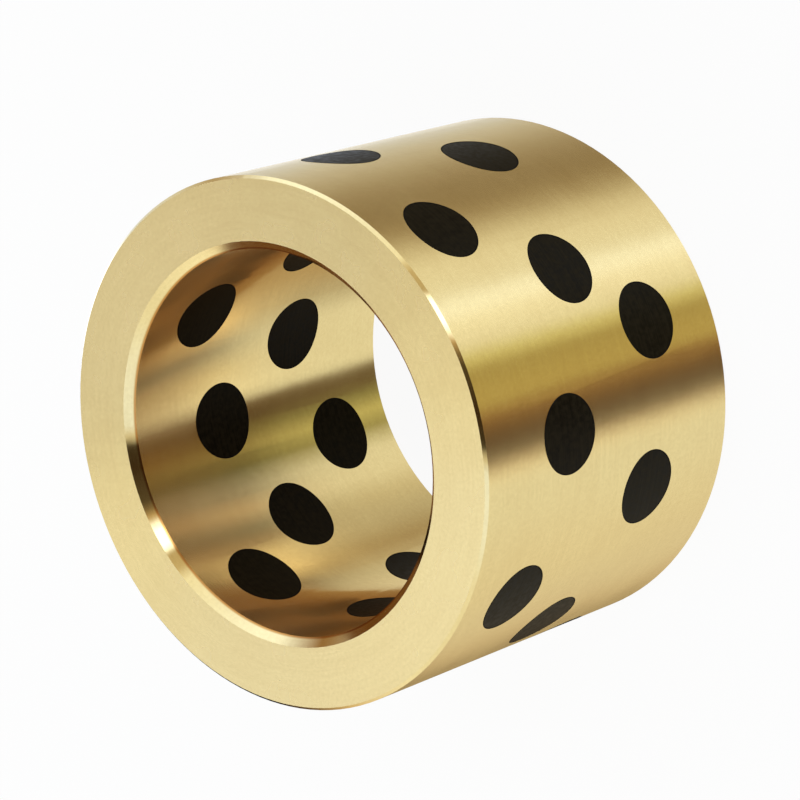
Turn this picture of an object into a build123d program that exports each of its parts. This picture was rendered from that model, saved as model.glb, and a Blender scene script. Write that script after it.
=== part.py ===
"""Graphite plugged bushing: a self-lubricating plain bearing.

A turned tube of high-strength bronze is drilled right through its wall, and every hole is filled
with a graphite plug that is machined flush with the outside and with the bore. The bushing stands
on its end, with its axis on Z and the origin at the centre of the bottom face.
Lengths are in millimetres and angles in degrees.
"""

import os
from math import cos, radians, sin

from build123d import *

# ---- Bushing body ----
bore_diameter = 40.0  # runs on the shaft
outer_diameter = 55.0  # pressed into the housing
length = 40.0
bore_chamfer = 0.9  # lead-in for the shaft, at both ends
outer_chamfer = 0.3  # broken edge of the outside, at both ends

# ---- Graphite plugs ----
plug_count = 20
plug_diameter = 8.0
plug_hole_clearance = 0.0  # hole diameter less plug diameter: the plugs fit line to line
end_margin = 9.5  # from each end face to the nearest ring of plug centres
drill_reach = outer_diameter  # from the axis outward, well past the wall

# Going round the bushing one pitch at a time, the plugs step through the rings in this order
# (ring 1 is the top one), so that every line along the shaft crosses graphite.
ring_order = [2, 5, 3, 1, 4]

# The holes were set out by hand, and each sits a little off the even pattern: degrees further
# round and millimetres higher, for plugs 1 to 5, 6 to 10, 11 to 15 and 16 to 20.
drilling_scatter = [
    (-4.0, 2.0), (1.0, 0.5), (-1.5, -2.0), (1.0, 0.0), (-0.5, 0.0),
    (3.0, 1.0), (0.0, -0.5), (3.0, 0.5), (1.0, 1.0), (4.0, -1.0),
    (2.5, 1.5), (0.5, 1.0), (1.0, 0.5), (-0.5, 1.0), (-1.0, -1.5),
    (-1.0, 1.5), (-1.0, 1.5), (-3.0, 0.0), (-4.5, 1.0), (-3.0, 0.0),
]

# ---- Worked out from the sizes above ----
bore_radius = bore_diameter / 2
outer_radius = outer_diameter / 2
plug_pitch = 360 / plug_count
ring_spacing = (length - 2 * end_margin) / (len(ring_order) - 1)
top_ring_height = length - end_margin


def plug_plane(index):
    """The plane across plug number index: on the bushing's axis, facing out along the plug."""
    ring = ring_order[index % len(ring_order)]
    extra_angle, extra_height = drilling_scatter[index % len(drilling_scatter)]
    angle = radians(index * plug_pitch + extra_angle)
    height = top_ring_height - (ring - 1) * ring_spacing + extra_height
    return Plane(origin=(0, 0, height), x_dir=(0, 0, 1), z_dir=(cos(angle), sin(angle), 0))


plug_planes = [plug_plane(index) for index in range(plug_count)]

os.makedirs("parts", exist_ok=True)

# ---- Bushing body: turned, bored, chamfered, then drilled through the wall ----
with BuildPart() as bushing_body:
    with BuildSketch() as wall_section:
        Circle(outer_radius)
        Circle(bore_radius, mode=Mode.SUBTRACT)
    extrude(amount=length)
    end_edges = bushing_body.edges().filter_by(GeomType.CIRCLE)
    bore_edges, outer_edges = end_edges.group_by(SortBy.RADIUS)
    chamfer(bore_edges, bore_chamfer)
    chamfer(outer_edges, outer_chamfer)
    for plane in plug_planes:
        with BuildSketch(plane):
            Circle((plug_diameter + plug_hole_clearance) / 2)
        extrude(amount=drill_reach, mode=Mode.SUBTRACT)
bushing_body.part.label = "bushing_body"
export_step(bushing_body.part, "parts/bushing_body.step")

# ---- Graphite plugs: round rod, cut to the curve of the outside and of the bore ----
for number, plane in enumerate(plug_planes, start=1):
    with BuildPart() as plug:
        with BuildSketch(plane):
            Circle(plug_diameter / 2)
        extrude(amount=drill_reach)
        with BuildSketch():
            Circle(outer_radius)
            Circle(bore_radius, mode=Mode.SUBTRACT)
        extrude(amount=length, mode=Mode.INTERSECT)
    plug.part.label = f"plug_{number:02d}"
    export_step(plug.part, f"parts/{plug.part.label}.step")
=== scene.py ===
# %% [markdown]
# # A graphite plugged bushing
#
# This plain bearing runs without oil. It is a turned tube of high-strength bronze, drilled right
# through its wall, and every hole holds a graphite plug that is machined flush with the bore and
# with the outside. The graphite rubs off on the shaft as a dry film.
#
# The bronze and the plugs come ready-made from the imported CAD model, at their real size and in
# metres. This lesson gives them their finish, adds the thin glue line round each plug, lights the
# bushing and sets the camera.

# %% Load the bushing and measure it
from math import asin, atan2, cos, degrees, pi, radians, sin, tan

import bpy
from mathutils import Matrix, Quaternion, Vector


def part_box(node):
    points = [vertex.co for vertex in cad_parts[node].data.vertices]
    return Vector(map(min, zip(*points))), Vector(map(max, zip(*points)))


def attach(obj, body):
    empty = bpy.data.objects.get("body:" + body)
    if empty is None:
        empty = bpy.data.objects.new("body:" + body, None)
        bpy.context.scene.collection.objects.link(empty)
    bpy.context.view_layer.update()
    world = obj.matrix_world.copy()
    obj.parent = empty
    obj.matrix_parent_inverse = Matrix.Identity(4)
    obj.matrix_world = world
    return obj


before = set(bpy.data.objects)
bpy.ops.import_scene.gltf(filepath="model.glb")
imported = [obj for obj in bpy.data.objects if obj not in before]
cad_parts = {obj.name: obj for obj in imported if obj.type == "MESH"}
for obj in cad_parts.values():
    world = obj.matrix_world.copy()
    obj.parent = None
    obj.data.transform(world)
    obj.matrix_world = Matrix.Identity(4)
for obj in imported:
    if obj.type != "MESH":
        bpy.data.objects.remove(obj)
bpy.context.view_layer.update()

mm = 0.001
bushing_low, bushing_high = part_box("bushing_body")
bushing_length = bushing_high.z - bushing_low.z
outer_radius = (bushing_high.x - bushing_low.x) / 2
plug_names = sorted(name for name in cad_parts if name.startswith("plug_"))
print(f"bushing: {2 * outer_radius / mm:.1f} mm across, {bushing_length / mm:.1f} mm long")
print(f"plugs: {len(plug_names)}")

# %% [markdown]
# ## The camera
#
# A long lens from 37 centimetres away keeps the two end circles nearly parallel, as a catalogue
# picture does. The bushing stands on its end in this frame, so the camera looks down on the upper
# end face at about 48 degrees, and it is rolled until the bore seems to lie on its side. Aiming
# first and rolling about the line of sight afterwards is easier to read than three Euler angles.

# %% Place, aim and roll the camera
camera_azimuth = radians(-74.85)
camera_elevation = radians(47.76)
camera_distance = 374.75 * mm
camera_aim = Vector((0.594, 0.081, 19.93)) * mm
camera_roll = radians(-107.51)
lens_length = 161.2  # Blender gives a lens in millimetres, whatever the unit of the scene
nearest_sight = 10 * mm

toward_camera = Vector((
    cos(camera_elevation) * cos(camera_azimuth),
    cos(camera_elevation) * sin(camera_azimuth),
    sin(camera_elevation),
))
camera_data = bpy.data.cameras.new("catalogue_camera")
camera_data.lens = lens_length
camera_data.clip_start = nearest_sight
camera = bpy.data.objects.new("catalogue_camera", camera_data)
bpy.context.scene.collection.objects.link(camera)
camera.location = camera_aim + camera_distance * toward_camera
camera.rotation_mode = "QUATERNION"
straight_look = (-toward_camera).to_track_quat("-Z", "Y")
camera.rotation_quaternion = straight_look @ Quaternion((0, 0, 1), camera_roll)
bpy.context.scene.camera = camera
print("camera at", [round(place / mm, 1) for place in camera.location], "mm")

# %% [markdown]
# ## Helpers for node trees
#
# Every finish here is procedural, and so is the light, so the lesson builds several trees of
# shader nodes. A few small helpers keep those trees short. The first adds any node and feeds its
# sockets, with plain values or with the outputs of other nodes. The others use it: they do
# arithmetic, stretch and blend values, and turn a value into a colour.

# %% Add a node and feed it
def add_node(tree, kind, inputs=None, **settings):
    """Adds one node, sets its properties and feeds its inputs with values or with sockets."""
    made = tree.nodes.new(kind)
    for name, value in settings.items():
        setattr(made, name, value)
    for key, value in (inputs or {}).items():
        if isinstance(value, bpy.types.NodeSocket):
            tree.links.new(value, made.inputs[key])
        else:
            made.inputs[key].default_value = value
    return made


def new_tree(material_name):
    """A material with an empty node tree."""
    material = bpy.data.materials.new(material_name)
    material.use_nodes = True
    material.node_tree.nodes.clear()
    return material, material.node_tree


# %% Work with values
def calculate(tree, operation, *values):
    """Adds one Math node and returns its result."""
    inputs = dict(enumerate(values))
    return add_node(tree, "ShaderNodeMath", inputs, operation=operation).outputs[0]


def blend(tree, share, first, second):
    """Goes from the first value, at a share of 0, to the second, at 1."""
    change = calculate(tree, "SUBTRACT", second, first)
    return calculate(tree, "MULTIPLY_ADD", share, change, first)


def add_up(tree, shares):
    """Adds up several values, each times its share."""
    total = 0.0
    for value, share in shares:
        total = calculate(tree, "MULTIPLY_ADD", value, share, total)
    return total


def remap(tree, value, low, high, to_low=0.0, to_high=1.0):
    """Maps a value from one range to another, clamped, with soft ends. Either may run down."""
    inputs = {"Value": value, "From Min": low, "From Max": high, "To Min": to_low, "To Max": to_high}
    made = add_node(tree, "ShaderNodeMapRange", inputs, interpolation_type="SMOOTHSTEP")
    return made.outputs["Result"]


# %% Work with colours
def colour_bands(tree, factor, bands):
    """A colour ramp from a list of (place from 0 to 1, colour), in order and 32 at most."""
    ramp = add_node(tree, "ShaderNodeValToRGB", {"Fac": factor})
    stops = ramp.color_ramp.elements
    while len(stops) < len(bands):
        stops.new(0.5)
    for stop, (place, colour) in zip(stops, bands):
        stop.position = place
        stop.color = (*colour, 1.0)
    return ramp.outputs["Color"]


def mix_colours(tree, factor, first, second):
    """Goes from the first colour, at a factor of 0, to the second, at 1."""
    inputs = {"Fac": factor, "Color1": first, "Color2": second}
    return add_node(tree, "ShaderNodeMixRGB", inputs).outputs["Color"]


# %% [markdown]
# ## The studio: a light tent
#
# Turned metal has almost no look of its own: it shows what stands around it. A good studio
# therefore puts such a part in a tent of white cloth and leaves gaps and dark cards where it
# should show dark bands, because the bands are what tells the eye that a surface is round.
#
# Here the tent is the world. Its cloths and cards have a few colours, each given as red, green
# and blue with the red at 1, so that a colour says only how warm a panel is and a separate level
# says how bright it is. A level of 1 is plain white cloth.

# %% The colours of cloth and card
cloth = (1, 1.02, .97)
daylight = (1, 1.12, 1.35)
cream = (1, .95, .80)
straw = (1, .97, .48)
olive = (1, .84, .36)
sand = (1, .84, .55)
kraft = (1, .76, .44)
brown = (1, .58, .26)
umber = (1, .45, .14)
print("coldest light, daylight:", daylight, "and warmest card, umber:", umber)

# %% [markdown]
# The tent has three rows of panels and a roof. The walls of a standing bushing mirror the lower
# row when the camera looks down on it, and the belt when it looks from the side. The chamfers and
# the end face mirror the upper row. Each row is a list of (direction, level, colour), with the
# direction in degrees round the bushing, from 0 at the camera's side to 180 behind it. The ends
# of a list meet behind the bushing and carry the same panel, so that the seam doesn't show.
#
# A wall turns a mirrored ray by twice its own angle, so half the width of a panel is the width
# of the band that it makes on the metal.

# %% The lower row
lower_panels = [
    (-180, .9, cream),
    (-176, 0, umber),
    (-156, 0, umber),
    (-148, .12, brown),
    (-136, .78, kraft),
    (-114, .90, cream),
    (-90, .96, cream),
    (-60, 1.0, cloth),
    (-45, .97, cloth),
    (-39, 1.14, cloth),
    (-37, 1.36, kraft),
    (-35.5, .32, umber),
    (-34, .04, umber),
    (-23, .14, brown),
    (-16, .36, brown),
    (-10, .64, olive),
    (4, .52, olive),
    (10, .84, straw),
    (16, 1.06, cloth),
    (26, 1.20, cloth),
    (32, 1.50, daylight),
    (38, 1.0, cloth),
    (52, 1.14, cloth),
    (60, .91, cream),
    (70, .37, kraft),
    (84, .28, kraft),
    (102, .37, kraft),
    (126, .78, cream),
    (154, .92, daylight),
    (166, 2.1, daylight),
    (175, 2.1, daylight),
    (180, .9, cream),
]
print("stops in the lower row:", len(lower_panels))

# %% The belt and the upper row
belt_panels = [
    (-180, 1.25, cloth),
    (-135, 1.25, cloth),
    (-104, 1.06, cloth),
    (-38, 1.06, cloth),
    (-34, .30, brown),
    (-25, .12, brown),
    (-12, .12, brown),
    (8, .20, kraft),
    (18, .68, kraft),
    (26, .95, cloth),
    (100, 1.36, daylight),
    (110, 1.30, daylight),
    (128, .36, brown),
    (176, .36, kraft),
    (180, 1.25, cloth),
]
upper_panels = [
    (-180, 1.25, cloth),
    (-172, 1.65, daylight),
    (-135, 1.30, cloth),
    (-104, 1.06, cloth),
    (-60, 1.12, daylight),
    (-36, 1.07, daylight),
    (-30, .85, cream),
    (-25, .06, kraft),
    (-12, .05, brown),
    (8, .10, kraft),
    (13, .26, kraft),
    (18, .68, kraft),
    (24, 1.95, daylight),
    (28, 3.1, daylight),
    (36, 2.5, daylight),
    (40, .62, sand),
    (50, .70, sand),
    (56, 1.13, cloth),
    (100, 1.28, daylight),
    (130, .42, cream),
    (145, .45, kraft),
    (176, .34, kraft),
    (180, 1.25, cloth),
]
print("stops in the belt and the upper row:", len(belt_panels), len(upper_panels))

# %% [markdown]
# The world's node tree finds out where a ray goes. Its direction is turned until the camera's
# side is at zero, and the arc tangent of its two level parts gives the place round the tent. The
# height of the ray, from -1 straight down to 1 straight up, then picks the row. One row fades
# into the next over a short range of heights, as cloth does at a seam.

# %% Turn a row of panels into a ramp
tent_peak = 4.0  # a ramp holds colours up to 1, so levels are divided by this and scaled back


def panel_colour(level, stuff, peak):
    """The colour of a cloth or card at a level of light, as a share of the brightest level."""
    return [min(level * share / peak, 1.0) for share in stuff]


def tent_walls(tree, place, panels):
    """One row of panels, as a ramp round the object."""
    bands = [((azimuth + 180) / 360, panel_colour(level, stuff, tent_peak))
             for azimuth, level, stuff in panels]
    return colour_bands(tree, place, bands)


# %% Find out where a ray goes
world = bpy.data.worlds.new("light_tent")
bpy.context.scene.world = world
world.use_nodes = True
sky = world.node_tree
sky.nodes.clear()
direction = add_node(sky, "ShaderNodeTexCoord").outputs["Generated"]
from_camera = add_node(sky, "ShaderNodeVectorRotate", {"Vector": direction, "Angle": -camera_azimuth},
                       rotation_type="Z_AXIS").outputs["Vector"]
ray_parts = add_node(sky, "ShaderNodeSeparateXYZ", {"Vector": from_camera})
azimuth = calculate(sky, "ARCTAN2", ray_parts.outputs["Y"], ray_parts.outputs["X"])
place_round = calculate(sky, "MULTIPLY_ADD", azimuth, 0.5 / pi, 0.5)
ray_height = ray_parts.outputs["Z"]
print("the tent is turned by", round(degrees(camera_azimuth), 1), "degrees")

# %% Hang the rows and the roof
belt_seam = (-0.15, 0.15)
upper_seam = (0.44, 0.52)
roof_seam = (0.84, 0.96)
roof_colour = (.25, .25, .24, 1)

lower_row = tent_walls(sky, place_round, lower_panels)
belt = tent_walls(sky, place_round, belt_panels)
upper_row = tent_walls(sky, place_round, upper_panels)
walls = mix_colours(sky, remap(sky, ray_height, *belt_seam), lower_row, belt)
walls = mix_colours(sky, remap(sky, ray_height, *upper_seam), walls, upper_row)
tent = mix_colours(sky, remap(sky, ray_height, *roof_seam), walls, roof_colour)
print("nodes in the tent:", len(sky.nodes))

# %% [markdown]
# The tent lights everything, but the camera itself sees clean white behind the object. The Light
# Path node tells the camera's own rays from all others. The tent is bright nearly everywhere, so
# chance rays find its light well enough, and the renderer needs no map of its bright spots.

# %% Let the camera see plain white
pure_white = (1, 1, 1, 1)

tent_light = add_node(sky, "ShaderNodeBackground", {"Color": tent, "Strength": tent_peak})
white_cloth = add_node(sky, "ShaderNodeBackground", {"Color": pure_white, "Strength": 1.0})
seen_by_camera = add_node(sky, "ShaderNodeLightPath").outputs["Is Camera Ray"]
backdrop = add_node(sky, "ShaderNodeMixShader",
                    {0: seen_by_camera, 1: tent_light.outputs[0], 2: white_cloth.outputs[0]})
add_node(sky, "ShaderNodeOutputWorld", {"Surface": backdrop.outputs[0]})
world.cycles.sampling_method = "NONE"
print("world:", world.name)

# %% [markdown]
# ## The floor
#
# The floor is a sheet of white paper. Part of what the camera sees of it is a plain white glow,
# which keeps it pale whatever falls on it, and the rest is diffuse paper, which takes the soft
# shadow of the bushing. Glossy rays pass through it, so the lower row of the tent reaches the
# standing walls as if the bushing stood on glass.

# %% Lay the floor
floor_size = 4.0

bpy.ops.object.select_all(action="DESELECT")
bpy.ops.mesh.primitive_plane_add(size=floor_size, location=(0, 0, 0))
floor = bpy.context.active_object
floor.name = "studio_floor"
floor.visible_glossy = False
print("floor:", floor_size, "m square")

# %% Make the paper
glow_share = 0.93
paper_white = (.8, .8, .8, 1)

white_paper, tree = new_tree("white_paper")
soft_paper = add_node(tree, "ShaderNodeBsdfDiffuse", {"Color": paper_white})
white_glow = add_node(tree, "ShaderNodeEmission", {"Color": pure_white, "Strength": 1.0})
seen_by_camera = add_node(tree, "ShaderNodeLightPath").outputs["Is Camera Ray"]
share = calculate(tree, "MULTIPLY", seen_by_camera, glow_share)
paper = add_node(tree, "ShaderNodeMixShader",
                 {0: share, 1: soft_paper.outputs[0], 2: white_glow.outputs[0]})
add_node(tree, "ShaderNodeOutputMaterial", {"Surface": paper.outputs[0]})
floor.data.materials.append(white_paper)
print("paper:", round(100 * glow_share), "% glow to the camera")

# %% [markdown]
# ## A striped card for the bore
#
# A bore mirrors only what lies below its far opening, so the tent hardly reaches it. It gets a
# card of its own: a strip of striped card rolled into a tube, hung under the floor in line with
# the bushing. It is a little slimmer than the bushing. Whatever the outside of the bushing
# mirrors lies further out than the bushing itself, so only the bore sees this card.
#
# A tube on the same axis keeps the stripes simple, because every strip along the bore mirrors
# one upright strip of the tube. The stripes are therefore listed by the strip of the bore that
# shows them, in degrees from the place opposite the camera. The lower part of the tube is what
# the depth of the bore shows, and the upper part, which the mouth shows, is darker and browner:
# a dark mouth makes a bore look deep.

# %% The stripes of the card
bore_stripes = [
    (-66, 1.0, cream),
    (-50, .71, cream),
    (-42, .40, kraft),
    (-33, .62, cream),
    (-24, .79, cream),
    (-17, .99, cloth),
    (-10, .99, cloth),
    (-3, .45, straw),
    (2, .69, straw),
    (7, .34, straw),
    (11, .18, kraft),
    (15, .19, kraft),
    (17, .95, cloth),
    (19, 1.0, cloth),
    (24, .94, cloth),
    (36, 1.0, cloth),
    (44, .58, cream),
    (56, .56, kraft),
    (66, .50, kraft),
]
mouth_stripes = [
    (-66, .32, brown),
    (-45, .02, umber),
    (-37, 2.0, sand),
    (-30, 1.30, sand),
    (-25, .18, umber),
    (-21, 0, umber),
    (-15, .46, brown),
    (-9, .06, umber),
    (-4, 0, umber),
    (3, .15, umber),
    (10, .06, umber),
    (14, .12, umber),
    (19, 1.28, cream),
    (25, .92, sand),
    (33, .04, umber),
    (41, 2.0, kraft),
    (48, 1.15, kraft),
    (60, .08, umber),
]
card_peak = 2.0  # the brightest level on the card
print("stripes for the depth and for the mouth:", len(bore_stripes), len(mouth_stripes))

# %% Find the radius of the bore
body_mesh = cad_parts["bushing_body"].data
bore_radius = min(Vector((corner.co.x, corner.co.y, 0)).length for corner in body_mesh.vertices)
wall_thickness = outer_radius - bore_radius
print(f"bore radius {bore_radius / mm:.2f} mm, wall {wall_thickness / mm:.2f} mm")

# %% Roll the card
card_slimness = 0.1 * mm
card_radius = outer_radius - card_slimness
card_height = 160 * mm
card_sides = 96

bpy.ops.object.select_all(action="DESELECT")
bpy.ops.mesh.primitive_cylinder_add(vertices=card_sides, radius=card_radius, depth=card_height,
                                    end_fill_type="NOTHING", location=(0, 0, -card_height / 2))
bpy.ops.object.transform_apply(location=True, rotation=False, scale=False)
bore_card = bpy.context.active_object
bore_card.name = "bore_card"
bore_card.rotation_euler.z = camera_azimuth
bore_card.visible_camera = False
bore_card.visible_diffuse = False
bore_card.visible_shadow = False
bore_card.visible_transmission = False
print(f"card: {2 * card_radius / mm:.1f} mm across, {card_height / mm:.0f} mm long")

# %% [markdown]
# A ray that strip number *a* of the bore mirrors leaves it at twice that angle and keeps its
# distance from the axis, so it meets the tube at 2*a* plus the arc sine of that distance over
# the radius of the tube. A sketch of the two circles on paper shows it better than words.
#
# Heights follow from the slope. A mirrored ray goes on falling as steeply as the camera looks
# down, so a spot on the tube shows at its own height plus the level distance between the two
# times that slope. The distance is longest straight across and is taken to shrink evenly
# towards the far side.

# %% Find where a strip of the bore looks
def place_on_card(strip):
    """Where a strip of the bore, in degrees, looks on the tube, as a share of its round."""
    aside = bore_radius * sin(radians(strip)) / card_radius
    return 0.5 + (2 * strip + degrees(asin(aside))) / 360


def card_stripes(tree, place, stripes):
    """The stripes of the card as a ramp round the tube."""
    bands = [(place_on_card(strip), panel_colour(level, stuff, card_peak))
             for strip, level, stuff in stripes]
    return colour_bands(tree, place, bands)


print("the strip at 30 degrees looks at", round(place_on_card(30), 3), "of the card's round")

# %% Print the stripes on the card
mouth_range = (24.5 * mm, 29 * mm)
reach_lost_aside = 17 * mm
longest_reach = card_radius + bore_radius
shortest_reach = longest_reach - reach_lost_aside

striped_card, tree = new_tree("striped_card")
spot = add_node(tree, "ShaderNodeTexCoord").outputs["Object"]
spot_parts = add_node(tree, "ShaderNodeSeparateXYZ", {"Vector": spot}).outputs
spot_turn = calculate(tree, "ARCTAN2", spot_parts["Y"], spot_parts["X"])
spot_place = calculate(tree, "MULTIPLY_ADD", spot_turn, -0.5 / pi, 0.5)
reach = add_node(tree, "ShaderNodeMapRange", {
    "Value": spot_parts["X"], "From Min": -card_radius, "From Max": card_radius,
    "To Min": shortest_reach, "To Max": longest_reach}).outputs["Result"]
strip_height = calculate(tree, "MULTIPLY_ADD", reach, tan(camera_elevation), spot_parts["Z"])
depth_colour = card_stripes(tree, spot_place, bore_stripes)
mouth_colour = card_stripes(tree, spot_place, mouth_stripes)
is_mouth = remap(tree, strip_height, *mouth_range)
card_colour = mix_colours(tree, is_mouth, depth_colour, mouth_colour)
card_light = add_node(tree, "ShaderNodeEmission", {"Color": card_colour, "Strength": card_peak})
add_node(tree, "ShaderNodeOutputMaterial", {"Surface": card_light.outputs[0]})
striped_card.cycles.emission_sampling = "NONE"  # something to mirror, not a lamp
bore_card.data.materials.append(striped_card)
print("nodes in the card's finish:", len(tree.nodes))

# %% [markdown]
# ## The glue lines
#
# Each plug is set in its hole with a film of glue, and after the last cut that film shows as a
# thin dark ring on the outside and in the bore. It could be painted by a shader, but a real film
# has an edge of its own that holds up in a close view, so it is modelled: a thin tube round the
# plug, cut to the curve of both walls. The cutting tool is a tube as thick as the bushing's wall
# and a hundredth of a millimetre more on each side, so that the film stands just proud of the
# metal. All plugs are alike, so one film is made at the level of the floor, where a plug at
# azimuth 0 would sit, and each plug then gets a copy that is turned and raised to it.

# %% Read the plugs' places and sizes
plug_low, plug_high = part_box(plug_names[0])
plug_radius = (plug_high.z - plug_low.z) / 2
plug_middles = {}
for name in plug_names:
    low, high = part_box(name)
    plug_middles[name] = (low + high) / 2
print(f"plug radius {plug_radius / mm:.2f} mm")

# %% Make the cutting tube
def apply_modifiers(piece):
    """Applies every modifier of the piece, in order."""
    bpy.ops.object.select_all(action="DESELECT")
    piece.select_set(True)
    bpy.context.view_layer.objects.active = piece
    for modifier in list(piece.modifiers):
        bpy.ops.object.modifier_apply(modifier=modifier.name)


proud = 0.012 * mm
tube_sides = 256

bpy.ops.object.select_all(action="DESELECT")
bpy.ops.mesh.primitive_cylinder_add(
    vertices=tube_sides, radius=outer_radius + proud, depth=4 * plug_radius,
    end_fill_type="NOTHING", location=(0, 0, 0))
cutting_tube = bpy.context.active_object
cutting_tube.name = "cutting_tube"
thicken = cutting_tube.modifiers.new("wall", "SOLIDIFY")
thicken.thickness = wall_thickness + 2 * proud
thicken.offset = -1
apply_modifiers(cutting_tube)
print("cutting tube:", len(cutting_tube.data.polygons), "faces")

# %% Make one film of glue
glue_width = 0.14 * mm
film_sides = 72
smooth_up_to = radians(30)
middle_of_wall = (bore_radius + outer_radius) / 2

bpy.ops.object.select_all(action="DESELECT")
bpy.ops.mesh.primitive_cylinder_add(
    vertices=film_sides, radius=plug_radius + glue_width / 2, depth=2 * wall_thickness,
    end_fill_type="NOTHING", location=(middle_of_wall, 0, 0), rotation=(0, pi / 2, 0))
first_film = bpy.context.active_object
first_film.name = "first_film"
bpy.ops.object.transform_apply(location=True, rotation=True, scale=True)
thicken = first_film.modifiers.new("film", "SOLIDIFY")
thicken.thickness = glue_width
thicken.offset = -1
trim = first_film.modifiers.new("trim", "BOOLEAN")
trim.operation = "INTERSECT"
trim.solver = "EXACT"
trim.object = cutting_tube
apply_modifiers(first_film)
bpy.ops.object.shade_smooth_by_angle(angle=smooth_up_to)
bpy.data.objects.remove(cutting_tube)
print("film of glue:", len(first_film.data.polygons), "faces")

# %% Glue every plug in
glue_lines = []
for plug_name, middle in plug_middles.items():
    bpy.ops.object.select_all(action="DESELECT")
    first_film.select_set(True)
    bpy.context.view_layer.objects.active = first_film
    bpy.ops.object.duplicate(linked=False)
    film = bpy.context.active_object
    film.name = plug_name.replace("plug", "glue_line")
    film.rotation_euler.z = atan2(middle.y, middle.x)
    film.location.z = middle.z
    bpy.ops.object.transform_apply(location=True, rotation=True, scale=True)
    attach(film, "root")
    glue_lines.append(film)
bpy.data.objects.remove(first_film)
print("glue lines:", len(glue_lines))

# %% [markdown]
# ## Turned bronze
#
# A lathe tool leaves fine grooves that run round the part. Seen from a step away they are too
# fine to see, but they scatter light across themselves and hardly at all along themselves, so
# each reflection is smeared into a streak along the wall and stays crisp round it. That is
# anisotropic gloss. The shader needs to know which way the smear goes: across the grooves, which
# is along the axis on the walls and along the radius on the end faces.
#
# The grooves, the grain of the metal and a few smudges are three kinds of noise. Lathe noise is
# stretched round the part. The other two are the same in all directions, and their scale is the
# number of cells to a metre.

# %% Coordinates and noise on a turned part
def turned_coordinates(tree):
    """Where a point is on a turned part: its place, the parts of that, and its radius."""
    place = add_node(tree, "ShaderNodeTexCoord").outputs["Object"]
    parts = add_node(tree, "ShaderNodeSeparateXYZ", {"Vector": place}).outputs
    x_squared = calculate(tree, "MULTIPLY", parts["X"], parts["X"])
    y_squared = calculate(tree, "MULTIPLY", parts["Y"], parts["Y"])
    radius = calculate(tree, "SQRT", calculate(tree, "ADD", x_squared, y_squared))
    return place, parts, radius


def lathe_lines(tree, parts, radius, pitch, streak):
    """Noise that is long round the part and short across the grooves, whatever the surface."""
    # Height plus 1.4 radii changes across every turned surface, 45 degree chamfers included.
    slant = 1.4
    across = calculate(tree, "MULTIPLY_ADD", radius, slant, parts["Z"])
    streak_length = calculate(tree, "MULTIPLY", radius, streak)
    spot = add_node(tree, "ShaderNodeCombineXYZ", {
        "X": calculate(tree, "DIVIDE", parts["X"], streak_length),
        "Y": calculate(tree, "DIVIDE", parts["Y"], streak_length),
        "Z": calculate(tree, "DIVIDE", across, pitch),
    })
    lines = add_node(tree, "ShaderNodeTexNoise",
                     {"Vector": spot.outputs[0], "Scale": 1.0, "Detail": 2.0, "Roughness": 0.6})
    return lines.outputs["Fac"]


def even_noise(tree, place, scale, detail):
    """Noise that is the same in all directions."""
    inputs = {"Vector": place, "Scale": scale, "Detail": detail}
    return add_node(tree, "ShaderNodeTexNoise", inputs).outputs["Fac"]


# %% Start the bronze: noise and the way of the grooves
turned_bronze, tree = new_tree("turned_bronze")
place, parts, radius = turned_coordinates(tree)
fine_lines = lathe_lines(tree, parts, radius, pitch=0.3 * mm, streak=0.3)
broad_lines = lathe_lines(tree, parts, radius, pitch=1.6 * mm, streak=0.8)
grain = even_noise(tree, place, scale=2600.0, detail=2.0)
smudges = even_noise(tree, place, scale=180.0, detail=3.0)

minus_y = calculate(tree, "MULTIPLY", parts["Y"], -1.0)
round_way = add_node(tree, "ShaderNodeCombineXYZ", {"X": minus_y, "Y": parts["X"]}).outputs[0]
geometry = add_node(tree, "ShaderNodeNewGeometry").outputs
across_grooves = add_node(tree, "ShaderNodeVectorMath", {0: round_way, 1: geometry["Normal"]},
                          operation="CROSS_PRODUCT").outputs["Vector"]
print("nodes in the bronze so far:", len(tree.nodes))

# %% [markdown]
# The finish differs from surface to surface, and the normal tells them apart. Its upright part
# is 0 on the walls, 0.71 on the chamfers and 1 on the end faces. The radius tells the bore from
# the outside. Each test below gives 1 on its own surface and 0 elsewhere, and a range whose
# first number is the larger one gives 1 for small values.
#
# The colour runs between two tones of bronze, driven by all the noises together. A hair's breadth of
# the chamfer at its corner with the bore is painted browner. This is a painted reflection of the warm
# bore, as a slightly rounded corner would mirror it.

# %% Tell the surfaces apart
wall_range = (0.5, 0.3)
face_range = (0.85, 0.95)
bore_range = (bore_radius + 2 * mm, bore_radius + 1 * mm)
corner_range = (bore_radius + 0.25 * mm, bore_radius + 0.05 * mm)

facing = add_node(tree, "ShaderNodeSeparateXYZ", {"Vector": geometry["True Normal"]}).outputs["Z"]
upness = calculate(tree, "ABSOLUTE", facing)
is_wall = remap(tree, upness, *wall_range)
is_face = remap(tree, upness, *face_range)
is_chamfer = calculate(tree, "SUBTRACT", 1.0, calculate(tree, "ADD", is_wall, is_face))
is_bore = remap(tree, radius, *bore_range)
is_corner = remap(tree, radius, *corner_range)
print("nodes in the bronze so far:", len(tree.nodes))

# %% Colour the bronze
pale_bronze = (.83, .675, .335, 1)
deep_bronze = (.755, .595, .285, 1)
# painted reflection: the brown of the warm bore, as the chamfer's rim would mirror it
painted_bore_reflection = (.50, .24, .06, 1)
tone_range = (0.3, 0.7)

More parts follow.
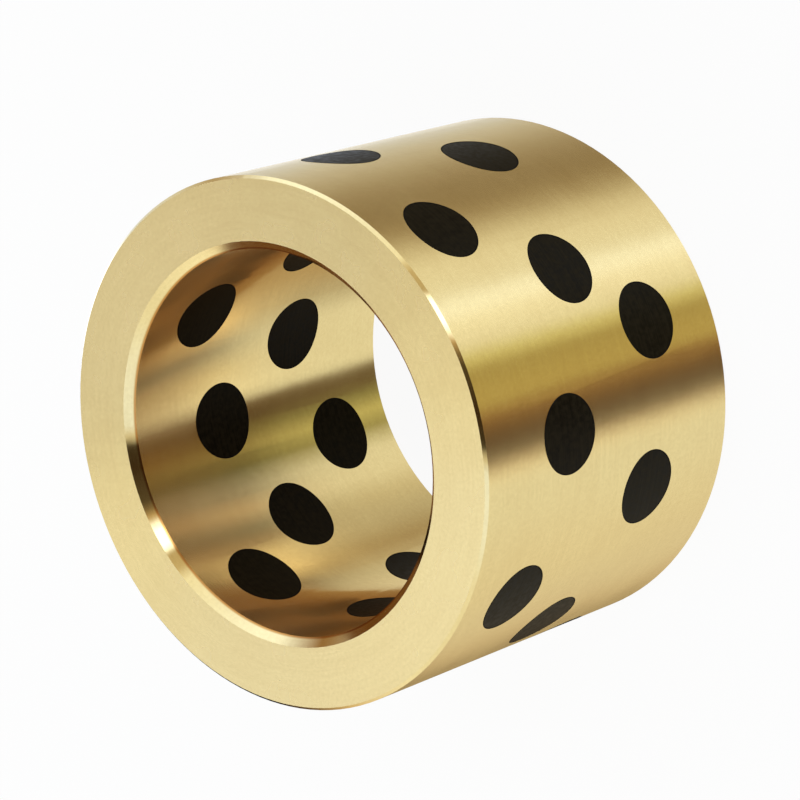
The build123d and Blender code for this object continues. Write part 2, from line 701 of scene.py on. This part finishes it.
tone = add_up(tree, [(broad_lines, 0.15), (fine_lines, 0.2), (grain, 0.35), (smudges, 0.25)])
bronze_colour = mix_colours(tree, remap(tree, tone, *tone_range), deep_bronze, pale_bronze)
# Painted reflection: the chamfer's rim at the bore is coloured brown, as if it mirrored the warm
# bore.
is_reflection_rim = calculate(tree, "MULTIPLY", is_corner, is_chamfer)
bronze_colour = mix_colours(tree, is_reflection_rim, bronze_colour, painted_bore_reflection)
print("bronze from", deep_bronze[:3], "to", pale_bronze[:3])

# %% [markdown]
# Roughness is what sets the gloss. The chamfers are cut with a sharp tool in one short pass and
# are nearly mirrors. The outside and the end faces are satin, and the bore is honed smoother
# than they are, most of all in its depth. Smudges make the gloss a little uneven.
#
# Two bumps finish it. The tool and the work give way to each other a little, which leaves very
# shallow waves in the walls, and a straight reflection shows them as a gentle wobble. The grooves
# lie on top of the waves, so the second Bump node takes its normal from the first.

# %% Set the gloss
chamfer_roughness = 0.09
face_roughness = 0.27
outside_roughness = 0.225
depth_roughness, mouth_roughness = 0.14, 0.2
depth_height, mouth_height = 24 * mm, 34 * mm
smudge_range = 0.04

bore_roughness = remap(tree, parts["Z"], depth_height, mouth_height, depth_roughness, mouth_roughness)
wall_roughness = blend(tree, is_bore, outside_roughness, bore_roughness)
flat_roughness = remap(tree, is_face, 0.0, 1.0, chamfer_roughness, face_roughness)
clean_roughness = blend(tree, is_wall, flat_roughness, wall_roughness)
least_roughness = calculate(tree, "SUBTRACT", clean_roughness, smudge_range / 2)
roughness = calculate(tree, "MULTIPLY_ADD", smudges, smudge_range, least_roughness)
print("roughness from", chamfer_roughness, "to", face_roughness)

# %% Add the waves and the grooves
wave_depth = 0.012 * mm
groove_depth = 0.004 * mm
groove_strength = 0.08

waves = even_noise(tree, place, scale=240.0, detail=2.0)
wave_bump = add_node(tree, "ShaderNodeBump",
                     {"Height": waves, "Strength": 1.0, "Distance": wave_depth})
groove_bump = add_node(tree, "ShaderNodeBump", {
    "Height": fine_lines,
    "Strength": groove_strength,
    "Distance": groove_depth,
    "Normal": wave_bump.outputs["Normal"],
})
metal = add_node(tree, "ShaderNodeBsdfPrincipled", {
    "Base Color": bronze_colour,
    "Metallic": 1.0,
    "Roughness": roughness,
    "Anisotropic": 1.0,
    "Tangent": across_grooves,
    "Normal": groove_bump.outputs["Normal"],
})
print(f"waves {wave_depth / mm:.3f} mm, grooves {groove_depth / mm:.3f} mm")

# %% [markdown]
# Inside a bore each wall mirrors the other walls, over and over, and every mirror image takes on
# more of the metal's colour, until only a deep warm brown is left. A renderer follows such a ray
# a few times and then drops it, which leaves black specks and streaks. So here the metal that is
# seen in metal ends the chase: to a glossy ray it is an even brown glow, deep at the mouth and
# paler towards the far end, which is nearer the light. The metal that the camera sees stays metal.

# %% Cut the endless mirrors short
deep_brown = (.16, .065, .017)
warm_brown = (.19, .087, .028)
light_brown = (.30, .150, .055)
pale_brown = (.48, .32, .15)

height_share = calculate(tree, "DIVIDE", parts["Z"], bushing_length)
brown_by_height = colour_bands(tree, height_share, [
    (0, pale_brown), (.15, light_brown), (.5, warm_brown), (.9, deep_brown)])
brown_glow = add_node(tree, "ShaderNodeEmission", {"Color": brown_by_height, "Strength": 1.0})
seen_in_metal = add_node(tree, "ShaderNodeLightPath").outputs["Is Glossy Ray"]
bronze = add_node(tree, "ShaderNodeMixShader",
                  {0: seen_in_metal, 1: metal.outputs[0], 2: brown_glow.outputs[0]})
add_node(tree, "ShaderNodeOutputMaterial", {"Surface": bronze.outputs[0]})
turned_bronze.cycles.emission_sampling = "NONE"  # a glow to mirror, not a lamp
print("nodes in the bronze:", len(tree.nodes))

# %% [markdown]
# ## Pressed graphite and glue
#
# The plugs are pressed from graphite powder, so they are nearly black, dull when seen straight
# on and slightly shiny at a glancing angle. The lathe cut them together with the bronze, so the
# same grooves cross them, and the powder leaves small pits. The glue is darker still and dull.

# %% Press the graphite
soot = (.0028, .0018, .0006, 1)
dull_grey = (.0130, .0095, .0042, 1)
warm_sheen = (1, .88, .6, 1)
carbon_range = (0.35, 0.65)
powder_range, carbon_roughness_range = (0.3, 0.7), (0.36, 0.5)
pit_depth, pit_strength = 0.02 * mm, 0.3
pit_edge = 0.25

pressed_graphite, tree = new_tree("pressed_graphite")
place, parts, radius = turned_coordinates(tree)
plug_lines = lathe_lines(tree, parts, radius, pitch=0.14 * mm, streak=0.35)
powder = even_noise(tree, place, scale=1800.0, detail=4.0)
pits = add_node(tree, "ShaderNodeTexVoronoi", {"Vector": place, "Scale": 2600.0}).outputs["Distance"]
carbon_tone = add_up(tree, [(powder, 0.6), (plug_lines, 0.4)])
carbon_colour = mix_colours(tree, remap(tree, carbon_tone, *carbon_range), soot, dull_grey)
surface_height = add_up(tree, [(plug_lines, 0.4), (remap(tree, pits, 0.0, pit_edge), 0.6)])
pit_bump = add_node(tree, "ShaderNodeBump",
                    {"Height": surface_height, "Strength": pit_strength, "Distance": pit_depth})
carbon = add_node(tree, "ShaderNodeBsdfPrincipled", {
    "Base Color": carbon_colour,
    "Roughness": remap(tree, powder, *powder_range, *carbon_roughness_range),
    "Specular IOR Level": 0.045,
    "Specular Tint": warm_sheen,
    "Normal": pit_bump.outputs["Normal"],
})
add_node(tree, "ShaderNodeOutputMaterial", {"Surface": carbon.outputs[0]})
print("nodes in the graphite:", len(tree.nodes))

# %% Colour the glue
black_glue = (.001, .0008, .0005, 1)
brown_glue = (.006, .004, .002, 1)
smear_range, glue_roughness_range = (0.3, 0.7), (0.6, 0.85)

dark_glue, tree = new_tree("dark_glue")
place = add_node(tree, "ShaderNodeTexCoord").outputs["Object"]
smear = even_noise(tree, place, scale=900.0, detail=2.0)
glue = add_node(tree, "ShaderNodeBsdfPrincipled", {
    "Base Color": mix_colours(tree, smear, black_glue, brown_glue),
    "Roughness": remap(tree, smear, *smear_range, *glue_roughness_range),
    "Specular IOR Level": 0.08,
})
add_node(tree, "ShaderNodeOutputMaterial", {"Surface": glue.outputs[0]})
print("nodes in the glue:", len(tree.nodes))

# %% Dress the parts
for name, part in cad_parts.items():
    part.material_slots[0].material = turned_bronze if name == "bushing_body" else pressed_graphite
for film in glue_lines:
    film.data.materials.append(dark_glue)
print("dressed", len(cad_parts), "CAD nodes and", len(glue_lines), "glue lines")

# %% [markdown]
# ## The view transform
#
# Standard view transform shows each colour as it was mixed.

# %% Set the view transform
bpy.context.scene.view_settings.view_transform = "Standard"
